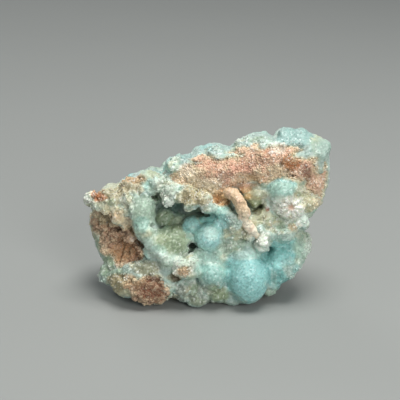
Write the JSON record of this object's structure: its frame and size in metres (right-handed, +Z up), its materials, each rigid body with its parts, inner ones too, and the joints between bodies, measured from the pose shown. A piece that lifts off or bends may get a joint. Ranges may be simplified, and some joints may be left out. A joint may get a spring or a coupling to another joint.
{
  "type": "hemimorphite mineral specimen",
  "caption": "Cabinet mineral specimen: blue-green botryoidal hemimorphite crust on iron-stained granular matrix, with a druse-lined vug and a small tan stalactite.",
  "frame": {"origin": "middle of the bounding box's footprint, on the plane the specimen rests on", "axes": "+Z up, +X to the right along the specimen's length seen from its front, +Y to the back; the vug faces -Y"},
  "size_m": [0.061, 0.0324, 0.044],
  "materials": {
    "matrix_rock": "rough granular, iron-stained",
    "hemimorphite": "sugary translucent druse",
    "vug_hemimorphite": "sugary translucent druse",
    "stalactite_rock": "rough"
  },
  "bodies": {
    "root": {"matrix": "matrix_rock", "hemimorphite_crust": "hemimorphite", "vug_lining": "vug_hemimorphite", "stalactite": "stalactite_rock"}
  },
  "joints": []
}
